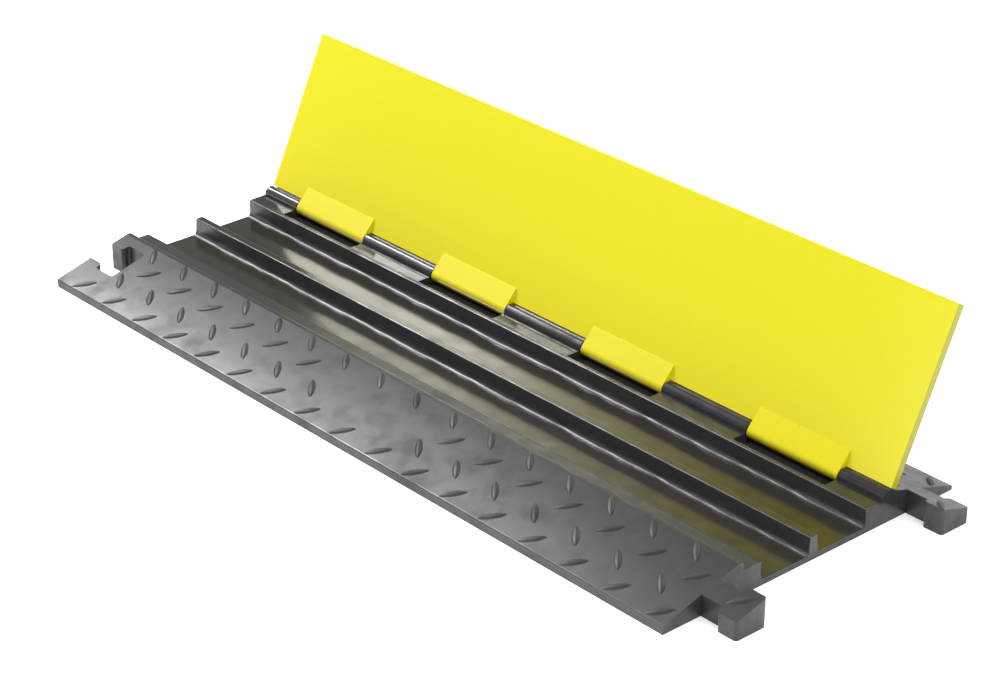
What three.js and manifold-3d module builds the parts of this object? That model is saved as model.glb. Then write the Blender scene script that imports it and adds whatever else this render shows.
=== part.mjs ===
// Floor cord cover: a low ramped strip that cords lie in and wheels roll over.
// A black cast base holds two cord channels between two ramps. A yellow lid closes the channels.
// The lid turns on a rod along the back of the channels and is shown open, leaning on its stop.
// Tongues at the right end lock into matching sockets at the left end of the next cover.
// Units are millimetres. +X runs along the channels, +Y from the near ramp to the far one, +Z up.
// The origin is on the floor, under the middle of the whole cover.
import * as THREE from 'three';
import { mergeVertices } from 'three/addons/utils/BufferGeometryUtils.js';
import Module from 'manifold-3d';

const wasm = await Module();
wasm.setup();

// Overall run of the cover between its two end faces
const moduleLength = 914;

// Ramps
const edgeHeight = 9;
const edgeRound = 1.5;
const rampRun = 91.5;
const ridgeHeight = 33.8;
const crownWidth = 6.5;
const crownRound = 2.5;
const farRampRun = 80;
const farRampHeight = 29.5;
const farEdgeHeight = 4.5;

// Bed of the channels
const channelFloor = 6;
const nearChannelWidth = 62;
const farChannelWidth = 63.5;
const dividerFoot = 11.5;
const dividerDraft = 1.2;
const dividerHeight = 18.5;
const footFillet = 3;
const wallRound = 1.5;
const ledgeHeight = 25.2;
const nearLedgeWidth = 22.5;
const farLedgeWidth = 22;

// Lid
const lidThickness = 8;
const lidEndGap = 0.5;
const lidSeatGap = 0.4;
const lidEdgeGap = 1.5;
const lidEdgeRound = 1.8;
const lidOpening = THREE.MathUtils.degToRad(115);
const stopGap = 0.4;

// Hinge
const barrelRadius = 8;
const rodRadius = 3.2;
const rodGap = 0.4;
const rodInset = 4;
const boreEndWall = 12;
const knuckleCount = 4;
const knucklePitch = 229;
const knuckleWidth = 114;
const knuckleSideGap = 1.5;
const knuckleToeReach = 23;
const knuckleToeHeight = 1.3;
const knuckleToeBevel = 1.2;
const barrelGap = 1.2;
const pocketGap = 1.2;

// Tongues and sockets that join covers end to end
const nearJointInset = 57.5;
const farJointInset = 54;
const armLength = 26;
const armWidth = 22.5;
const headLength = 23;
const headWidth = 37;
const headRound = 3;
const jawThickness = 20.5;
const socketSideGap = 2.8;
const socketWingGap = 3.7;
const socketEndGap = 1.5;
const jawRound = 4;

// How far a cutting shape runs past the face that it opens
const overrun = 2;
const roundSteps = 4;
const barrelSides = 32;
const rodSides = 16;

// Heights and places that follow from the sizes above
const stepY = rampRun + crownWidth;
const nearWallY = stepY + nearLedgeWidth;
const dividerNearY = nearWallY + nearChannelWidth;
const dividerFarY = dividerNearY + dividerFoot;
const farWallY = dividerFarY + farChannelWidth;
const dividerTop = channelFloor + dividerHeight;
const axisY = farWallY + farLedgeWidth + barrelRadius;
const axisZ = ledgeHeight + lidSeatGap;

// The open lid leans back until its outer face meets the top edge of the far ramp
const lean = Math.PI - lidOpening;
const stopY = axisY + (lidThickness + stopGap) / Math.sin(lean) + (farRampHeight - axisZ) / Math.tan(lean);
const coverWidth = stopY + farRampRun;
const tongueLength = armLength + headLength;
const lidReach = axisY - stepY - lidEdgeGap;

const castBlack = new THREE.MeshStandardMaterial({ color: 0x232327, roughness: 0.38, metalness: 0 });
const mouldedYellow = new THREE.MeshStandardMaterial({ color: 0xebe62f, roughness: 0.42, metalness: 0 });
const rodSteel = new THREE.MeshStandardMaterial({ color: 0x9a9ca0, roughness: 0.35, metalness: 1 });

// Closed outline through corners given as [x, y, radius], with each radius turned into an arc
function roundedOutline(corners) {
  const points = [];
  corners.forEach(([x, y, radius = 0], index) => {
    const corner = new THREE.Vector2(x, y);
    const [lastX, lastY] = corners.at(index - 1);
    const [nextX, nextY] = corners[(index + 1) % corners.length];
    const toLast = new THREE.Vector2(lastX, lastY).sub(corner);
    const toNext = new THREE.Vector2(nextX, nextY).sub(corner);
    const half = Math.acos(toLast.dot(toNext) / (toLast.length() * toNext.length())) / 2;
    const room = 0.48 * Math.min(toLast.length(), toNext.length());
    const trim = Math.min(radius / Math.tan(half), room);
    if (trim < 0.01) {
      points.push(corner);
      return;
    }
    toLast.normalize();
    toNext.normalize();
    const bisector = toLast.clone().add(toNext).normalize();
    const centre = corner.clone().addScaledVector(bisector, trim / Math.cos(half));
    const from = corner.clone().addScaledVector(toLast, trim).sub(centre);
    const to = corner.clone().addScaledVector(toNext, trim).sub(centre);
    const sweep = Math.atan2(from.cross(to), from.dot(to));
    for (let step = 0; step <= roundSteps; step += 1) {
      const turned = from.clone().rotateAround(new THREE.Vector2(), (sweep * step) / roundSteps);
      points.push(turned.add(centre));
    }
  });
  return new THREE.Shape(points);
}

// Closed mesh geometry as a solid that can be joined and cut
function toSolid(geometry) {
  const bare = geometry.clone();
  bare.deleteAttribute('normal');
  bare.deleteAttribute('uv');
  const merged = mergeVertices(bare, 1e-4);
  return new wasm.Manifold(new wasm.Mesh({
    numProp: 3,
    vertProperties: new Float32Array(merged.attributes.position.array),
    triVerts: new Uint32Array(merged.index.array),
  }));
}

function toGeometry(solid) {
  const mesh = solid.getMesh();
  const geometry = new THREE.BufferGeometry();
  geometry.setAttribute('position', new THREE.BufferAttribute(new Float32Array(mesh.vertProperties), 3));
  geometry.setIndex(new THREE.BufferAttribute(new Uint32Array(mesh.triVerts), 1));
  geometry.computeVertexNormals();
  return geometry;
}

// Section drawn in Y and Z, run along X from startX to endX
function alongX(outline, startX, endX) {
  const geometry = new THREE.ExtrudeGeometry(outline, { depth: endX - startX, bevelEnabled: false });
  const turn = new THREE.Matrix4().makeBasis(
    new THREE.Vector3(0, 1, 0),
    new THREE.Vector3(0, 0, 1),
    new THREE.Vector3(1, 0, 0),
  );
  geometry.applyMatrix4(turn);
  geometry.translate(startX, 0, 0);
  return toSolid(geometry);
}

// Plan drawn in X and Y, run up from startZ to endZ
function alongZ(outline, startZ, endZ) {
  const geometry = new THREE.ExtrudeGeometry(outline, { depth: endZ - startZ, bevelEnabled: false });
  geometry.translate(0, 0, startZ);
  return toSolid(geometry);
}

// Round bar along X, centred on the given Y and Z
function roundBar(radius, sides, startX, endX, y, z) {
  const geometry = new THREE.CylinderGeometry(radius, radius, endX - startX, sides);
  geometry.rotateZ(-Math.PI / 2);
  geometry.translate((startX + endX) / 2, y, z);
  return toSolid(geometry);
}

// Point where a line from outside, given as [x, y], touches the underside of a circle about the origin
function touchPoint([x, y], radius) {
  const distance = Math.hypot(x, y);
  const along = radius ** 2 / distance ** 2;
  const across = (radius * Math.sqrt(distance ** 2 - radius ** 2)) / distance ** 2;
  return [along * x - across * y, along * y + across * x];
}

const knuckleCentres = [];
for (let index = 0; index < knuckleCount; index += 1) {
  knuckleCentres.push(moduleLength / 2 + (index - (knuckleCount - 1) / 2) * knucklePitch);
}

// Whole section of the base, from the near edge across the channels to the far edge
function baseSection() {
  return roundedOutline([
    [0, 0],
    [coverWidth, 0],
    [coverWidth, farEdgeHeight, edgeRound],
    [stopY, farRampHeight],
    [axisY, farRampHeight],
    [axisY, ledgeHeight],
    [farWallY, ledgeHeight, wallRound],
    [farWallY, channelFloor, footFillet],
    [dividerFarY, channelFloor, footFillet],
    [dividerFarY - dividerDraft, dividerTop, wallRound],
    [dividerNearY + dividerDraft, dividerTop, wallRound],
    [dividerNearY, channelFloor, footFillet],
    [nearWallY, channelFloor, footFillet],
    [nearWallY, ledgeHeight, wallRound],
    [stepY, ledgeHeight],
    [stepY, ridgeHeight, crownRound],
    [rampRun, ridgeHeight, crownRound],
    [0, edgeHeight, edgeRound],
  ]);
}

// Plan of a T that points along +X from rootX: an arm, and a wider head across its end
function teePlan(rootX, centreY, arm, head) {
  const neckX = rootX + arm.length;
  const endX = neckX + head.length;
  return roundedOutline([
    [rootX, centreY - arm.width / 2],
    [neckX, centreY - arm.width / 2, arm.round],
    [neckX, centreY - head.width / 2, head.round],
    [endX, centreY - head.width / 2, head.round],
    [endX, centreY + head.width / 2, head.round],
    [neckX, centreY + head.width / 2, head.round],
    [neckX, centreY + arm.width / 2, arm.round],
    [rootX, centreY + arm.width / 2],
  ]);
}

// Tongue at the right end, with its top in line with the ramp
function tongue(centreY) {
  const plan = teePlan(
    moduleLength - overrun,
    centreY,
    { length: armLength + overrun, width: armWidth, round: 1 },
    { length: headLength, width: headWidth, round: headRound },
  );
  const ramps = alongX(baseSection(), moduleLength - overrun, moduleLength + tongueLength + overrun);
  return alongZ(plan, 0, ridgeHeight).intersect(ramps);
}

// Socket at the left end that takes the tongue of the next cover, open above and below
function socket(centreY) {
  const plan = teePlan(
    -overrun,
    centreY,
    { length: jawThickness + overrun, width: armWidth + 2 * socketSideGap, round: jawRound },
    {
      length: tongueLength + socketEndGap - jawThickness,
      width: headWidth + 2 * socketWingGap,
      round: headRound,
    },
  );
  return alongZ(plan, -overrun, ridgeHeight + overrun);
}

// Pocket in the far ledge that a knuckle of the lid turns in
function knucklePocket(centreX) {
  const reach = knuckleWidth / 2 + knuckleSideGap;
  const nearY = axisY - knuckleToeReach - knuckleToeBevel - pocketGap;
  const floorZ = axisZ - barrelRadius - pocketGap;
  const section = roundedOutline([
    [nearY, ridgeHeight + overrun],
    [nearY, axisZ - knuckleToeHeight - pocketGap],
    [axisY - barrelRadius / 2, floorZ],
    [stopY, floorZ],
    [stopY, ridgeHeight + overrun],
  ]);
  return alongX(section, centreX - reach, centreX + reach);
}

function baseSolid() {
  let solid = alongX(baseSection(), 0, moduleLength);
  solid = solid.add(roundBar(barrelRadius, barrelSides, 0, moduleLength, axisY, axisZ));
  for (const centreX of knuckleCentres) {
    solid = solid.subtract(knucklePocket(centreX));
  }
  for (const centreY of [nearJointInset, coverWidth - farJointInset]) {
    solid = solid.add(tongue(centreY)).subtract(socket(centreY));
  }
  const boreEnd = moduleLength - boreEndWall;
  return solid.subtract(roundBar(rodRadius + rodGap, rodSides, -overrun, boreEnd, axisY, axisZ));
}

// The lid is drawn closed about its hinge axis: its underside lies in the plane of the axis
function lidSolid() {
  const startX = lidEndGap;
  const endX = moduleLength - lidEndGap;
  const panelSection = roundedOutline([
    [-lidReach, 0, lidEdgeRound],
    [-barrelRadius - barrelGap, 0],
    [-barrelRadius - barrelGap, lidThickness, lidEdgeRound],
    [-lidReach, lidThickness, lidEdgeRound],
  ]);
  const toe = [-knuckleToeReach, -knuckleToeHeight];
  const knuckleSection = roundedOutline([
    [-knuckleToeReach - knuckleToeBevel, 0],
    toe,
    touchPoint(toe, barrelRadius),
    [0, 0],
    [0, lidThickness],
    [-knuckleToeReach - knuckleToeBevel, lidThickness],
  ]);
  let solid = alongX(panelSection, startX, endX);
  for (const centreX of knuckleCentres) {
    const fromX = centreX - knuckleWidth / 2;
    const toX = centreX + knuckleWidth / 2;
    solid = solid.add(alongX(knuckleSection, fromX, toX));
    solid = solid.add(roundBar(barrelRadius, barrelSides, fromX, toX, 0, 0));
  }
  return solid.subtract(roundBar(rodRadius + rodGap, rodSides, -overrun, moduleLength + overrun, 0, 0));
}

function named(name, solid, material) {
  const mesh = new THREE.Mesh(toGeometry(solid), material);
  mesh.name = name;
  return mesh;
}

const base = named('base', baseSolid(), castBlack);
const rodEnd = moduleLength - boreEndWall - rodGap;
const hingeRod = named('hinge_rod', roundBar(rodRadius, rodSides, rodInset, rodEnd, axisY, axisZ), rodSteel);

const lidHinge = new THREE.Group();
lidHinge.position.set(0, axisY, axisZ);
lidHinge.rotation.x = -lidOpening;
lidHinge.add(named('lid', lidSolid(), mouldedYellow));

const cordCover = new THREE.Group();
cordCover.position.set(-(moduleLength + tongueLength) / 2, -coverWidth / 2, 0);
cordCover.add(base, hingeRod, lidHinge);

export default cordCover;
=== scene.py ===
"""Floor cord cover with its lid open, dressed over the fixed frame.

The frame gives the base, the lid and the hinge rod. This script adds the raised tread bars and
the uneven feet of the channel walls, gives each piece its material, and sets a plain studio
round them. Sizes are millimetres in the plan of the cover: X from the left end face, Y from the
near edge and Z from the floor.
"""

import logging
import math
from dataclasses import dataclass
from enum import Enum
from typing import Any

import bmesh
import bpy
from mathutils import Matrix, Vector


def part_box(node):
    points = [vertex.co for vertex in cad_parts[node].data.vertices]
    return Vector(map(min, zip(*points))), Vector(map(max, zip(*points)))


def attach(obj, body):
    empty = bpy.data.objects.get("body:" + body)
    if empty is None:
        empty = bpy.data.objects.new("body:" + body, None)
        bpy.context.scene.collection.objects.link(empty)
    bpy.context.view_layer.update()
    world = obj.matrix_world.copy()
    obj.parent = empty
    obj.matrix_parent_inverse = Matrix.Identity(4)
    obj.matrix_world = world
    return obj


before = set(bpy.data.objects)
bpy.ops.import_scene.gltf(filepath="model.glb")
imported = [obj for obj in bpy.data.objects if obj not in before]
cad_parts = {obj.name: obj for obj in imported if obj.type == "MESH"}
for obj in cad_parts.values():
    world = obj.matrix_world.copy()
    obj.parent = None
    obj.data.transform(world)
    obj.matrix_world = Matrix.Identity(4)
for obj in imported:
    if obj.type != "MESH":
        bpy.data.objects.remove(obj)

MM = 0.001

log = logging.getLogger("cord_cover")


# ---- small tools ----


def linear(hex_colour: str) -> tuple[float, float, float, float]:
    """Turns an sRGB hex colour to linear.

    Args:
        hex_colour: six hex digits after a hash.

    Returns:
        Linear red, green and blue, and an alpha of 1.
    """
    parts = [int(hex_colour[start : start + 2], 16) / 255 for start in (1, 3, 5)]
    red, green, blue = (p / 12.92 if p <= 0.04045 else ((p + 0.055) / 1.055) ** 2.4 for p in parts)
    return (red, green, blue, 1.0)


def add_node(
    tree: bpy.types.NodeTree,
    kind: str,
    settings: dict[str, Any] | None = None,
    links: dict[str | int, bpy.types.NodeSocket] | None = None,
) -> bpy.types.Node:
    """Adds one node to a tree.

    Args:
        tree: the material's or world's node tree.
        kind: the node's type.
        settings: values by the name of an input socket or of a property.
        links: outputs to join, by the name or number of the input that each goes to.

    Returns:
        The new node.
    """
    node = tree.nodes.new(kind)
    for name, value in (settings or {}).items():
        if name in node.inputs:
            node.inputs[name].default_value = value
        else:
            setattr(node, name, value)
    for name, output in (links or {}).items():
        tree.links.new(output, node.inputs[name])
    return node


def empty_material(name: str) -> bpy.types.Material:
    """Makes a material whose node tree is still empty.

    Args:
        name: the material's name.

    Returns:
        The new material.
    """
    material = bpy.data.materials.new(name)
    material.use_nodes = True
    material.node_tree.nodes.clear()
    return material


def mesh_object(
    name: str, mesh: bmesh.types.BMesh, material: bpy.types.Material
) -> bpy.types.Object:
    """Makes an object of a finished mesh, with its faces outward and smooth.

    Args:
        name: the piece's name.
        mesh: the mesh, which is freed here.
        material: the piece's finish.

    Returns:
        The new object, in the scene.
    """
    bmesh.ops.recalc_face_normals(mesh, faces=mesh.faces)
    for face in mesh.faces:
        face.smooth = True
    data = bpy.data.meshes.new(name)
    mesh.to_mesh(data)
    mesh.free()
    data.materials.append(material)
    piece = bpy.data.objects.new(name, data)
    bpy.context.scene.collection.objects.link(piece)
    return piece


def loft(mesh: bmesh.types.BMesh, rings: list[list[Vector]]) -> None:
    """Joins rings of the same count into one closed body, with its two ends capped.

    Args:
        mesh: the mesh that gets the body.
        rings: the rings in order, each a list of points.
    """
    rows = [[mesh.verts.new(point) for point in ring] for ring in rings]
    for row, following in zip(rows, rows[1:]):
        for index, vert in enumerate(row):
            other = (index + 1) % len(row)
            mesh.faces.new((vert, row[other], following[other], following[index]))
    mesh.faces.new(rows[0])
    mesh.faces.new(list(reversed(rows[-1])))


# ---- finishes ----


@dataclass(frozen=True)
class CastBlackPolyurethane:
    """Black polyurethane, poured into an open mould.

    The eye sees a dark body under a skin that swells slightly. The ramps are cloudy, where the
    mould left patches of more and less shine, and the channel floors and the hinge barrels are
    smooth enough to mirror the open lid. The channel floors' colour is a little warmer: a painted
    reflection of the yellow lid.
    """

    name: str = "cast_black_polyurethane"
    colour: str = "#28282a"
    # The channel floors' colour: a painted warm reflection of the yellow lid.
    floor_reflection_tint: str = "#2b2722"
    roughness: float = 0.31
    shine_level: float = 0.58
    ior: float = 1.5
    swell_pitch: float = 34.0
    swell_depth: float = 0.4
    # The mould's real grain is well under a millimetre, and is drawn as coarse as it has to be
    # to show in the render.
    grain_pitch: float = 3.0
    grain_depth: float = 0.006
    # Clouds: how much rougher and how much duller the dull patches are, and the parts of the
    # pattern over which the two changes run.
    cloud_pitch: float = 30.0
    cloud_detail: float = 4.0
    cloud_breakup: float = 0.6
    cloud_depth: float = 0.12
    cloud_rough_span: tuple[float, float] = (0.42, 0.72)
    cloud_dimming: float = 0.24
    cloud_dim_span: tuple[float, float] = (0.45, 0.7)
    floor_gloss: float = 0.18
    far_floor_gloss: float = 0.15
    # The near edge lies at this Y of the frame, and the sizes after it are distances from it.
    near_edge: float = -189.3
    ramp_run: float = 91.5
    ramp_crown: float = 0.9
    floor_start: float = 118.0
    divider: float = 188.0
    floor_end: float = 256.5
    barrel_start: float = 263.0
    barrel_end: float = 297.0
    band_blur: float = 1.0
    # The upward part of the normal at which a face begins, and ends, to count as level.
    level_span: tuple[float, float] = (0.94, 0.995)

    def crown(self, tree: bpy.types.NodeTree, place: bpy.types.Node) -> bpy.types.Node:
        """Adds the slight crown that the near ramp has across its run.

        Args:
            tree: the material's tree.
            place: the coordinate node.

        Returns:
            The node whose normal carries the crown.
        """
        parts = add_node(tree, "ShaderNodeSeparateXYZ", links={"Vector": place.outputs["Object"]})
        share = add_node(
            tree,
            "ShaderNodeMapRange",
            {
                "From Min": self.near_edge * MM,
                "From Max": (self.near_edge + self.ramp_run) * MM,
                "To Min": -1.0,
                "To Max": 1.0,
            },
            {"Value": parts.outputs["Y"]},
        )
        square = add_node(tree, "ShaderNodeMath", {"operation": "MULTIPLY"})
        tree.links.new(share.outputs["Result"], square.inputs[0])
        tree.links.new(share.outputs["Result"], square.inputs[1])
        drop = add_node(tree, "ShaderNodeMath", {"operation": "SUBTRACT"})
        drop.inputs[0].default_value = 1.0
        tree.links.new(square.outputs["Value"], drop.inputs[1])
        return add_node(
            tree,
            "ShaderNodeBump",
            {"Distance": self.ramp_crown * MM},
            {"Height": drop.outputs["Value"]},
        )

    def band(
        self, tree: bpy.types.NodeTree, place: bpy.types.Node, start: float, end: float
    ) -> bpy.types.NodeSocket:
        """Adds a mask that is 1 between two distances from the near edge, and 0 beyond them.

        Args:
            tree: the material's tree.
            place: the coordinate node.
            start: the nearer distance.
            end: the farther distance.

        Returns:
            The mask's output.
        """
        parts = add_node(tree, "ShaderNodeSeparateXYZ", links={"Vector": place.outputs["Object"]})
        half = (end - start) / 2 * MM
        blur = self.band_blur * MM
        offset = add_node(
            tree, "ShaderNodeMath", {"operation": "SUBTRACT"}, {0: parts.outputs["Y"]}
        )
        offset.inputs[1].default_value = ((start + end) / 2 + self.near_edge) * MM
        away = add_node(
            tree, "ShaderNodeMath", {"operation": "ABSOLUTE"}, {0: offset.outputs["Value"]}
        )
        inside = add_node(
            tree,
            "ShaderNodeMapRange",
            {"From Min": half + blur, "From Max": half - blur},
            {"Value": away.outputs["Value"]},
        )
        return inside.outputs["Result"]

    def floors(self, tree: bpy.types.NodeTree, place: bpy.types.Node) -> bpy.types.NodeSocket:
        """Adds the mask of the channels' level faces.

        Args:
            tree: the material's tree.
            place: the coordinate node.

        Returns:
            The mask's output.
        """
        facing = add_node(tree, "ShaderNodeSeparateXYZ", links={"Vector": place.outputs["Normal"]})
        sloping, level_face = self.level_span
        flat = add_node(
            tree,
            "ShaderNodeMapRange",
            {"From Min": sloping, "From Max": level_face},
            {"Value": facing.outputs["Z"]},
        )
        inside = self.band(tree, place, self.floor_start, self.floor_end)
        level = add_node(
            tree,
            "ShaderNodeMath",
            {"operation": "MULTIPLY"},
            {0: inside, 1: flat.outputs["Result"]},
        )
        return level.outputs["Value"]

    def gloss(
        self,
        tree: bpy.types.NodeTree,
        place: bpy.types.Node,
        floors: bpy.types.NodeSocket,
        far: bpy.types.NodeSocket,
        clouds: bpy.types.NodeSocket,
    ) -> bpy.types.NodeSocket:
        """Adds the roughness: smooth channel floors and hinge barrels, and cloudy ramps and edges.

        Args:
            tree: the material's tree.
            place: the coordinate node.
            floors: the mask of the channels' level faces.
            far: the mask of the channel next to the hinge.
            clouds: the cloud pattern.

        Returns:
            The roughness output.
        """
        barrels = self.band(tree, place, self.barrel_start, self.barrel_end)
        smooth = add_node(
            tree, "ShaderNodeMath", {"operation": "MAXIMUM"}, {0: floors, 1: barrels}
        )
        shiny, dull = self.cloud_rough_span
        cloudy = add_node(
            tree,
            "ShaderNodeMapRange",
            {
                "From Min": shiny,
                "From Max": dull,
                "To Min": self.roughness,
                "To Max": self.roughness + self.cloud_depth,
            },
            {"Value": clouds},
        )
        floor_gloss = add_node(
            tree,
            "ShaderNodeMapRange",
            {"To Min": self.floor_gloss, "To Max": self.far_floor_gloss},
            {"Value": far},
        )
        rough = add_node(
            tree,
            "ShaderNodeMapRange",
            links={
                "Value": smooth.outputs["Value"],
                "To Min": cloudy.outputs["Result"],
                "To Max": floor_gloss.outputs["Result"],
            },
        )
        return rough.outputs["Result"]

    def material(self) -> bpy.types.Material:
        """Builds the material.

        Returns:
            The material, with the swell of the poured skin, the grain of the mould and clouds.
        """
        material = empty_material(self.name)
        tree = material.node_tree
        place = add_node(tree, "ShaderNodeTexCoord")
        crown = self.crown(tree, place)
        swell = add_node(
            tree,
            "ShaderNodeTexNoise",
            {"Scale": 1 / (self.swell_pitch * MM), "Detail": 1.0},
            {"Vector": place.outputs["Object"]},
        )
        grain = add_node(
            tree,
            "ShaderNodeTexNoise",
            {"Scale": 1 / (self.grain_pitch * MM), "Detail": 2.0},
            {"Vector": place.outputs["Object"]},
        )
        swollen = add_node(
            tree,
            "ShaderNodeBump",
            {"Distance": self.swell_depth * MM},
            {"Height": swell.outputs["Fac"], "Normal": crown.outputs["Normal"]},
        )
        skin = add_node(
            tree,
            "ShaderNodeBump",
            {"Distance": self.grain_depth * MM},
            {"Height": grain.outputs["Fac"], "Normal": swollen.outputs["Normal"]},
        )
        floors = self.floors(tree, place)
        far = self.band(tree, place, self.divider, self.barrel_end)
        clouds = add_node(
            tree,
            "ShaderNodeTexNoise",
            {
                "Scale": 1 / (self.cloud_pitch * MM),
                "Detail": self.cloud_detail,
                "Roughness": self.cloud_breakup,
            },
            {"Vector": place.outputs["Object"]},
        )
        bright, dim = self.cloud_dim_span
        shine = add_node(
            tree,
            "ShaderNodeMapRange",
            {
                "From Min": bright,
                "From Max": dim,
                "To Min": self.shine_level,
                "To Max": self.shine_level - self.cloud_dimming,
            },
            {"Value": clouds.outputs["Fac"]},
        )
        # Painted warm reflection of the lid on the channel floors.
        colour = add_node(
            tree,
            "ShaderNodeMixRGB",
            {"Color1": linear(self.colour), "Color2": linear(self.floor_reflection_tint)},
            {"Fac": floors},
        )
        body = add_node(
            tree,
            "ShaderNodeBsdfPrincipled",
            {"IOR": self.ior},
            {
                "Base Color": colour.outputs["Color"],
                "Normal": skin.outputs["Normal"],
                "Specular IOR Level": shine.outputs["Result"],
                "Roughness": self.gloss(tree, place, floors, far, clouds.outputs["Fac"]),
            },
        )
        add_node(tree, "ShaderNodeOutputMaterial", links={"Surface": body.outputs["BSDF"]})
        return material


@dataclass(frozen=True)
class CastYellowPolyurethane:
    """Yellow polyurethane, moulded in one plate.

    The eye sees a strong flat colour under a soft gloss. Near the hinge it is painted a little
    warmer, for the warm light there; the cut right end is painted darker, as shade; and painted
    shade darkens the undersides of the knuckles.
    """

    name: str = "cast_yellow_polyurethane"
    colour: str = "#c3bd0c"
    warm_light_colour: str = "#c9bd06"
    end_shade_colour: str = "#96921e"
    knuckle_shade: str = "#2e2008"
    roughness: float = 0.22
    ior: float = 1.5
    swell_pitch: float = 90.0
    swell_depth: float = 0.10
    # The heights over which the painted warm light and the painted shade under the knuckles fade
    # out.
    warm_light_low: float = 34.0
    warm_light_high: float = 120.0
    knuckle_shade_low: float = 18.6
    knuckle_shade_high: float = 31.0
    # The lid's right end lies at this X of the frame. The painted shade on the end starts, and is
    # full, just short of it.
    right_end: float = 432.0
    end_start: float = 0.6
    end_full: float = 0.3

    def material(self) -> bpy.types.Material:
        """Builds the material.

        Returns:
            The material, with the slow swell of a moulded plate and the painted shade under the
            knuckles.
        """
        material = empty_material(self.name)
        tree = material.node_tree
        place = add_node(tree, "ShaderNodeTexCoord")
        swell = add_node(
            tree,
            "ShaderNodeTexNoise",
            {"Scale": 1 / (self.swell_pitch * MM), "Detail": 1.0},
            {"Vector": place.outputs["Object"]},
        )
        skin = add_node(
            tree,
            "ShaderNodeBump",
            {"Distance": self.swell_depth * MM},
            {"Height": swell.outputs["Fac"]},
        )
        parts = add_node(tree, "ShaderNodeSeparateXYZ", links={"Vector": place.outputs["Object"]})
        # Painted shade under the knuckles: the colour darkens towards the bottom of the lid.
        unshaded = add_node(
            tree,
            "ShaderNodeMapRange",
            {
                "interpolation_type": "SMOOTHSTEP",
                "From Min": self.knuckle_shade_low * MM,
                "From Max": self.knuckle_shade_high * MM,
            },
            {"Value": parts.outputs["Z"]},
        )
        upper = add_node(
            tree,
            "ShaderNodeMapRange",
            {"From Min": self.warm_light_low * MM, "From Max": self.warm_light_high * MM},
            {"Value": parts.outputs["Z"]},
        )
        # Painted warm light: the colour is warmer near the hinge and plain higher up.
        body_colour = add_node(
            tree,
            "ShaderNodeMixRGB",
            {"Color1": linear(self.warm_light_colour), "Color2": linear(self.colour)},
            {"Fac": upper.outputs["Result"]},
        )
        # Painted shade on the lid's right end face: its colour is darker olive.
        end_face = add_node(
            tree,
            "ShaderNodeMapRange",
            {
                "From Min": (self.right_end - self.end_start) * MM,
                "From Max": (self.right_end - self.end_full) * MM,
            },
            {"Value": parts.outputs["X"]},
        )
        end_shaded = add_node(
            tree,
            "ShaderNodeMixRGB",
            {"Color2": linear(self.end_shade_colour)},
            {"Fac": end_face.outputs["Result"], "Color1": body_colour.outputs["Color"]},
        )
        shade = add_node(
            tree,
            "ShaderNodeMixRGB",
            {"Color1": linear(self.knuckle_shade)},
            {"Fac": unshaded.outputs["Result"], "Color2": end_shaded.outputs["Color"]},
        )
        body = add_node(
            tree,
            "ShaderNodeBsdfPrincipled",
            {"Roughness": self.roughness, "IOR": self.ior},
            {"Base Color": shade.outputs["Color"], "Normal": skin.outputs["Normal"]},
        )
        add_node(tree, "ShaderNodeOutputMaterial", links={"Surface": body.outputs["BSDF"]})
        return material


@dataclass(frozen=True)
class DrawnSteel:
    """Bright steel rod, drawn through a die: the eye sees a grey metal with a soft, even shine."""

    name: str = "drawn_steel"
    colour: str = "#a2a4a6"
    roughness: float = 0.35

    def material(self) -> bpy.types.Material:
        """Builds the material.

        Returns:
            The material, the same all over.
        """
        material = empty_material(self.name)
        tree = material.node_tree
        body = add_node(
            tree,
            "ShaderNodeBsdfPrincipled",
            {"Base Color": linear(self.colour), "Metallic": 1.0, "Roughness": self.roughness},
        )
        add_node(tree, "ShaderNodeOutputMaterial", links={"Surface": body.outputs["BSDF"]})
        return material


@dataclass(frozen=True)
class PaleStudioFloor:
    """White acrylic light table: a matt floor that glows a little, so shadows stay faint."""

    name: str = "white_acrylic"
    colour: str = "#f6f6f6"
    roughness: float = 0.9
    glow: float = 0.45

    def material(self) -> bpy.types.Material:
        """Builds the material.

        Returns:
            The material, the same all over.
        """
        material = empty_material(self.name)
        tree = material.node_tree
        body = add_node(
            tree,
            "ShaderNodeBsdfPrincipled",
            {
                "Base Color": linear(self.colour),
                "Roughness": self.roughness,
                "Specular IOR Level": 0.0,
                "Emission Color": linear("#ffffff"),
                "Emission Strength": self.glow,
            },
        )
        add_node(tree, "ShaderNodeOutputMaterial", links={"Surface": body.outputs["BSDF"]})
        return material


# ---- the cover ----


class Slant(Enum):
    """Which way a tread bar lies on its ramp, seen from above."""

    RISING = 1
    FALLING = -1


@dataclass(frozen=True)
class Ramp:
    """A sloping face of the base, from its near edge to its far edge."""

    start_y: float
    start_z: float
    end_y: float
    end_z: float

    def height(self, y: float) -> float:
        """Height of the face at a Y of the plan."""
        return self.start_z + (y - self.start_y) * self.slope()

    def slope(self) -> float:
        """Rise of the face for each millimetre of Y."""
        return (self.end_z - self.start_z) / (self.end_y - self.start_y)


@dataclass(frozen=True)
class BarRow:
    """One row of tread bars along a ramp, with the places in it that are left bare."""

    slant: Slant
    y: float
    first_x: float
    count: int
    skipped: tuple[int, ...] = ()


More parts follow.
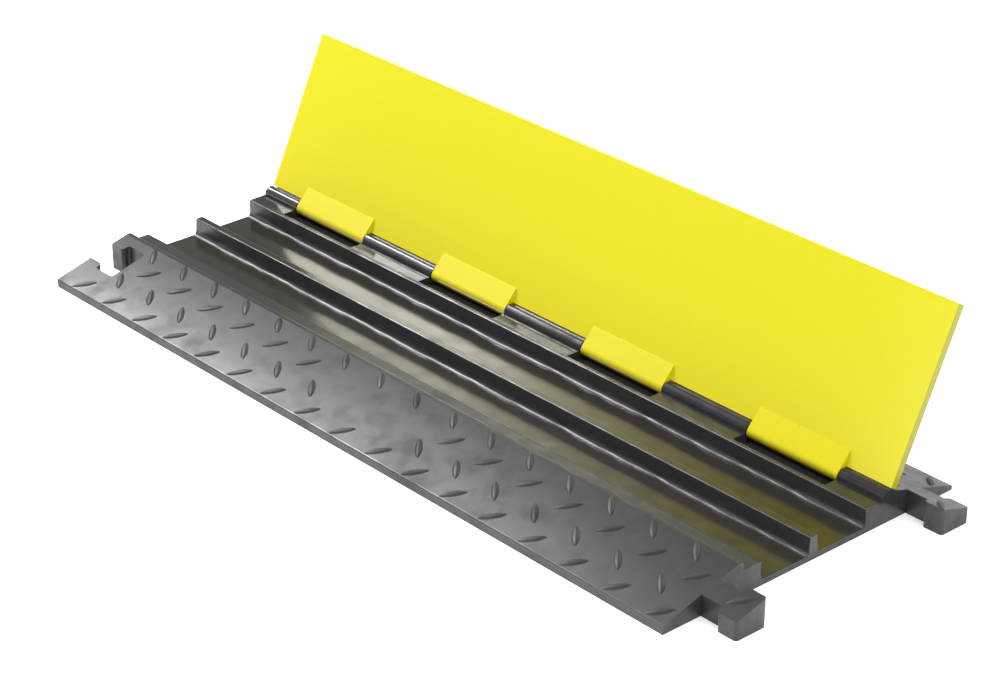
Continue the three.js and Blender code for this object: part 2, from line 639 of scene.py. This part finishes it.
@dataclass
class TreadBars:
    """Raised bars that give the ramps their grip, cast in one with the base."""

    origin: Vector
    pitch: float = 54.0
    length: float = 27.0
    width: float = 7.2
    rise: float = 1.7
    bury: float = 0.6
    stations: int = 12
    # The powers that shape the lens in plan and the crest, and the half width left at the tips.
    plan_power: float = 2.2
    plan_fullness: float = 0.75
    crest_power: float = 0.8
    tip_half: float = 0.15
    # The bar's cross-section: shares of the half width and of the crest.
    section: tuple[tuple[float, float], ...] = (
        (-1.0, 0.0),
        (-0.8, 0.5),
        (-0.5, 0.93),
        (0.0, 1.0),
        (0.5, 0.93),
        (0.8, 0.5),
        (1.0, 0.0),
    )
    near_ramp: Ramp = Ramp(start_y=0.0, start_z=9.0, end_y=91.5, end_z=33.8)
    far_ramp: Ramp = Ramp(start_y=298.587, start_z=29.5, end_y=378.587, end_z=4.5)
    near_rows: tuple[BarRow, ...] = (
        BarRow(Slant.RISING, 11.0, 35.0, 17),
        BarRow(Slant.FALLING, 36.0, 65.0, 16, (7, 8)),
        BarRow(Slant.RISING, 60.0, 84.0, 17, (6, 7, 8)),
        BarRow(Slant.FALLING, 82.0, 62.0, 16),
    )
    far_rows: tuple[BarRow, ...] = (
        BarRow(Slant.FALLING, 362.0, 37.0, 17),
        BarRow(Slant.RISING, 340.0, 63.0, 16),
        BarRow(Slant.FALLING, 315.0, 34.5, 18, (0,)),
    )

    def bar(self, mesh: bmesh.types.BMesh, ramp: Ramp, x: float, y: float, slant: Slant) -> None:
        """Adds one bar: a lens in plan with a rounded back, its foot sunk in the ramp.

        Args:
            mesh: the mesh that gets the bar.
            ramp: the face that the bar stands on.
            x: the bar's middle along the cover.
            y: the bar's middle across the cover.
            slant: which way the bar lies.
        """
        along = Vector((math.sqrt(0.5), slant.value * math.sqrt(0.5)))
        across = Vector((-along.y, along.x))
        rings = []
        for station in range(self.stations + 1):
            reach = -math.cos(math.pi * station / self.stations)
            full = max(1 - abs(reach) ** self.plan_power, 0.0) ** self.plan_fullness
            half = self.width / 2 * full + self.tip_half
            crest = self.rise * full**self.crest_power
            middle = Vector((x, y)) + along * (reach * self.length / 2)
            ring = []
            for side, share in self.section:
                spot = middle + across * (side * half)
                ring.append(self.place(spot, ramp.height(spot.y) + crest * share))
            for side in (1.0, -1.0):
                spot = middle + across * (side * half)
                ring.append(self.place(spot, ramp.height(spot.y) - self.bury))
            rings.append(ring)
        loft(mesh, rings)

    def place(self, spot: Vector, z: float) -> Vector:
        """A point of the plan, in millimetres, as metres in the row frame."""
        return self.origin + Vector((spot.x, spot.y, z)) * MM

    def build(self, material: bpy.types.Material) -> bpy.types.Object:
        """Builds every bar as one mesh.

        Args:
            material: the finish of the base.

        Returns:
            The piece, riding on the base.
        """
        mesh = bmesh.new()
        for ramp, rows in ((self.near_ramp, self.near_rows), (self.far_ramp, self.far_rows)):
            for row in rows:
                for index in range(row.count):
                    if index not in row.skipped:
                        self.bar(mesh, ramp, row.first_x + index * self.pitch, row.y, row.slant)
        piece = mesh_object("tread_bars", mesh, material)
        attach(piece, "base")
        return piece


class Reach(Enum):
    """Which way a foot reaches out from its wall."""

    TO_HINGE = 1
    TO_NEAR_EDGE = -1


@dataclass(frozen=True)
class Corner:
    """A corner where a channel wall meets the channel floor."""

    y: float
    reach: Reach
    phase: float


@dataclass(frozen=True)
class Wave:
    """One of the slow waves in a foot, which turns by a radian in each pitch."""

    pitch: float
    phase_share: float
    weight: float


@dataclass
class WallFeet:
    """Hollow feet of the channel walls: a fillet whose size wanders along the cover."""

    origin: Vector
    floor_z: float = 6.0
    start_x: float = 0.3
    end_x: float = 913.7
    step: float = 5.0
    reach: float = 4.8
    least_reach: float = 3.1
    rise: float = 5.4
    reach_wander: float = 0.4
    rise_wander: float = 2.6
    bury: float = 0.5
    arc_steps: int = 8
    sharp_angle: float = math.radians(40)
    waves: tuple[Wave, ...] = (Wave(10.0, 1.0, 0.4), Wave(5.2, 2.1, 0.35), Wave(23.0, -1.0, 0.55))
    corners: tuple[Corner, ...] = (
        Corner(120.5, Reach.TO_HINGE, 0.4),
        Corner(182.5, Reach.TO_NEAR_EDGE, 1.7),
        Corner(194.0, Reach.TO_HINGE, 2.9),
        Corner(257.5, Reach.TO_NEAR_EDGE, 4.3),
    )

    def wander(self, x: float, phase: float) -> float:
        """Works out how far a foot strays from its middle size at an X.

        Args:
            x: the place along the cover.
            phase: the foot's own start, which keeps the feet out of step with each other.

        Returns:
            The sum of the slow waves, about -1.3 to 1.3.
        """
        return sum(
            math.sin(x / wave.pitch + wave.phase_share * phase) * wave.weight
            for wave in self.waves
        )

    def foot(self, mesh: bmesh.types.BMesh, corner: Corner) -> None:
        """Adds the foot of one wall.

        Args:
            mesh: the mesh that gets the foot.
            corner: the corner that it fills.
        """
        count = round((self.end_x - self.start_x) / self.step)
        side = corner.reach.value
        rings = []
        for index in range(count + 1):
            x = self.start_x + (self.end_x - self.start_x) * index / count
            wander = self.wander(x, corner.phase)
            reach = max(self.reach + self.reach_wander * wander, self.least_reach)
            rise = self.rise + self.rise_wander * wander
            ring = []
            for part in range(self.arc_steps + 1):
                turn = math.pi / 2 * part / self.arc_steps
                out = reach * (1 - math.sin(turn))
                up = rise * (1 - math.cos(turn))
                ring.append((corner.y + side * out, self.floor_z + up))
            ring.append((corner.y - side * self.bury, self.floor_z + rise))
            ring.append((corner.y - side * self.bury, self.floor_z - self.bury))
            ring.append((corner.y + side * reach, self.floor_z - self.bury))
            rings.append([self.origin + Vector((x, y, z)) * MM for y, z in ring])
        loft(mesh, rings)

    def build(self, material: bpy.types.Material) -> bpy.types.Object:
        """Builds the four feet as one mesh.

        Args:
            material: the finish of the base.

        Returns:
            The piece, riding on the base.
        """
        mesh = bmesh.new()
        for corner in self.corners:
            self.foot(mesh, corner)
        piece = mesh_object("wall_feet", mesh, material)
        piece.data.set_sharp_from_angle(angle=self.sharp_angle)
        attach(piece, "base")
        return piece


@dataclass
class CordCover:
    """The cover's own pieces, as the frame gives them."""

    smooth_angle: float = math.radians(32)

    def dress(self, name: str, material: bpy.types.Material) -> bpy.types.Object:
        """Gives a node of the frame its finish and smooth shading.

        Args:
            name: the node's name.
            material: its finish.

        Returns:
            The node's object.
        """
        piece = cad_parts[name]
        piece.data.materials.clear()
        piece.data.materials.append(material)
        for face in piece.data.polygons:
            face.use_smooth = True
        piece.data.set_sharp_from_angle(angle=self.smooth_angle)
        return piece


# ---- the studio ----


@dataclass(frozen=True)
class SoftBox:
    """A square soft lamp that faces the cover.

    The tilt turns it from over the left end towards the hinge side, and the height is its angle
    above the floor there, both in degrees. The side, the distance and the middle, which is the
    spot that it faces, are in metres.
    """

    name: str
    tilt: float
    height: float
    side: float
    radiance: float
    distance: float = 3.0
    middle: tuple[float, float, float] = (-0.1, 0.0, 0.05)

    def build(self) -> bpy.types.Object:
        """Builds the lamp.

        Returns:
            The lamp's object, in the scene.
        """
        lamp = bpy.data.lights.new(self.name, "AREA")
        lamp.shape = "SQUARE"
        lamp.size = self.side
        lamp.energy = self.radiance * math.pi * self.side**2
        stand = bpy.data.objects.new(self.name, lamp)
        tilt, height = math.radians(self.tilt), math.radians(self.height)
        reach = math.cos(tilt)
        out = Vector((-math.cos(height) * reach, math.sin(tilt), math.sin(height) * reach))
        stand.location = Vector(self.middle) + out * self.distance
        stand.rotation_euler = (-out).to_track_quat("-Z", "Y").to_euler()
        bpy.context.scene.collection.objects.link(stand)
        return stand


@dataclass
class Studio:
    """Camera, floor, sky and lamps, in metres.

    The sky has one strength overhead and a higher one at the horizon, and the one runs into the
    other over the horizon's reach.
    """

    camera_place: tuple[float, float, float] = (1.87334, -1.67356, 1.32382)
    camera_target: tuple[float, float, float] = (-0.0245, 0.00071, 0.0)
    lens: float = 102.923
    sensor: float = 36.0
    clip_end: float = 100.0
    shift_x: float = 0.0247
    shift_y: float = 0.0380
    sky: float = 0.35
    horizon: float = 1.1
    horizon_reach: float = 0.3
    floor_half: float = 9.0
    lamps: tuple[SoftBox, ...] = (
        SoftBox("key", -8.0, 45.0, 0.42, 126.0, 3.0, (0.0, 0.0, 0.05)),
        SoftBox("key_low_front", -24.0, 38.0, 1.0, 1.4),
        SoftBox("key_low", 0.0, 38.0, 0.42, 22.0),
        SoftBox("key_rim", 0.0, 45.0, 0.42, 15.6),
        SoftBox("key_high", 8.0, 52.0, 0.42, 12.0),
        SoftBox("right_fill", -5.7, 153.5, 1.6, 5.9),
        SoftBox("back_fill", 53.1, 90.0, 1.6, 6.0),
        SoftBox("lid_fill", -72.0, 90.0, 0.6, 3.9, 0.9, (0.15, 0.0, 0.05)),
    )

    def set_camera(self) -> None:
        """Puts the camera where the photograph was taken from."""
        lens = bpy.data.cameras.new("camera")
        lens.lens = self.lens
        lens.sensor_width = self.sensor
        lens.sensor_fit = "HORIZONTAL"
        lens.shift_x = self.shift_x
        lens.shift_y = self.shift_y
        lens.clip_end = self.clip_end
        camera = bpy.data.objects.new("camera", lens)
        camera.location = self.camera_place
        aim = Vector(self.camera_target) - Vector(self.camera_place)
        camera.rotation_euler = aim.to_track_quat("-Z", "Y").to_euler()
        bpy.context.scene.collection.objects.link(camera)
        bpy.context.scene.camera = camera

    def lay_floor(self) -> None:
        """Lays the pale floor under the cover."""
        mesh = bmesh.new()
        reach = self.floor_half
        corners = ((-reach, -reach), (reach, -reach), (reach, reach), (-reach, reach))
        mesh.faces.new([mesh.verts.new((x, y, 0.0)) for x, y in corners])
        mesh_object("floor", mesh, PaleStudioFloor().material())

    def light(self) -> None:
        """Sets the white sky and the lamps."""
        world = bpy.data.worlds.new("studio")
        world.use_nodes = True
        tree = world.node_tree
        tree.nodes.clear()
        place = add_node(tree, "ShaderNodeTexCoord")
        parts = add_node(
            tree, "ShaderNodeSeparateXYZ", links={"Vector": place.outputs["Generated"]}
        )
        sweep = add_node(
            tree,
            "ShaderNodeMapRange",
            {"From Max": self.horizon_reach, "To Min": self.horizon, "To Max": self.sky},
            {"Value": parts.outputs["Z"]},
        )
        sky = add_node(
            tree,
            "ShaderNodeBackground",
            {"Color": linear("#ffffff")},
            {"Strength": sweep.outputs["Result"]},
        )
        add_node(tree, "ShaderNodeOutputWorld", links={"Surface": sky.outputs["Background"]})
        bpy.context.scene.world = world
        for lamp in self.lamps:
            lamp.build()

    def build(self) -> None:
        """Sets up the whole studio."""
        bpy.context.scene.view_settings.view_transform = "Standard"
        self.set_camera()
        self.lay_floor()
        self.light()


def main() -> None:
    """Builds the studio and dresses the cover."""
    logging.basicConfig(level=logging.INFO, format="%(message)s")
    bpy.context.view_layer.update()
    Studio().build()
    black = CastBlackPolyurethane().material()
    yellow = CastYellowPolyurethane().material()
    cover = CordCover()
    for name, material, slot in (
        ("base", black, "base_polyurethane"),
        ("lid", yellow, "lid_polyurethane"),
        ("hinge_rod", DrawnSteel().material(), "rod_steel"),
    ):
        log.info("dressed %s", cover.dress(name, material).name)
    low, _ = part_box("base")
    origin = Vector((low.x, low.y, 0.0))
    # The feet are rougher than the floors, so they catch the lamps as one soft line each.
    feet_black = CastBlackPolyurethane(
        name="cast_black_polyurethane_feet",
        roughness=0.36,
        cloud_depth=0.03,
        floor_gloss=0.36,
        far_floor_gloss=0.36,
    ).material()
    # The bars' colour is painted darker than the ramps, as shade on their flanks, and wheels and
    # soles have scuffed them duller.
    scuffed_shaded_black = CastBlackPolyurethane(
        name="scuffed_shaded_black_polyurethane", colour="#1f1f21", roughness=0.5, ior=1.46
    ).material()
    for piece in (TreadBars(origin).build(scuffed_shaded_black), WallFeet(origin).build(feet_black)):
        log.info("built %s with %d faces", piece.name, len(piece.data.polygons))


if __name__ == "__main__":
    main()
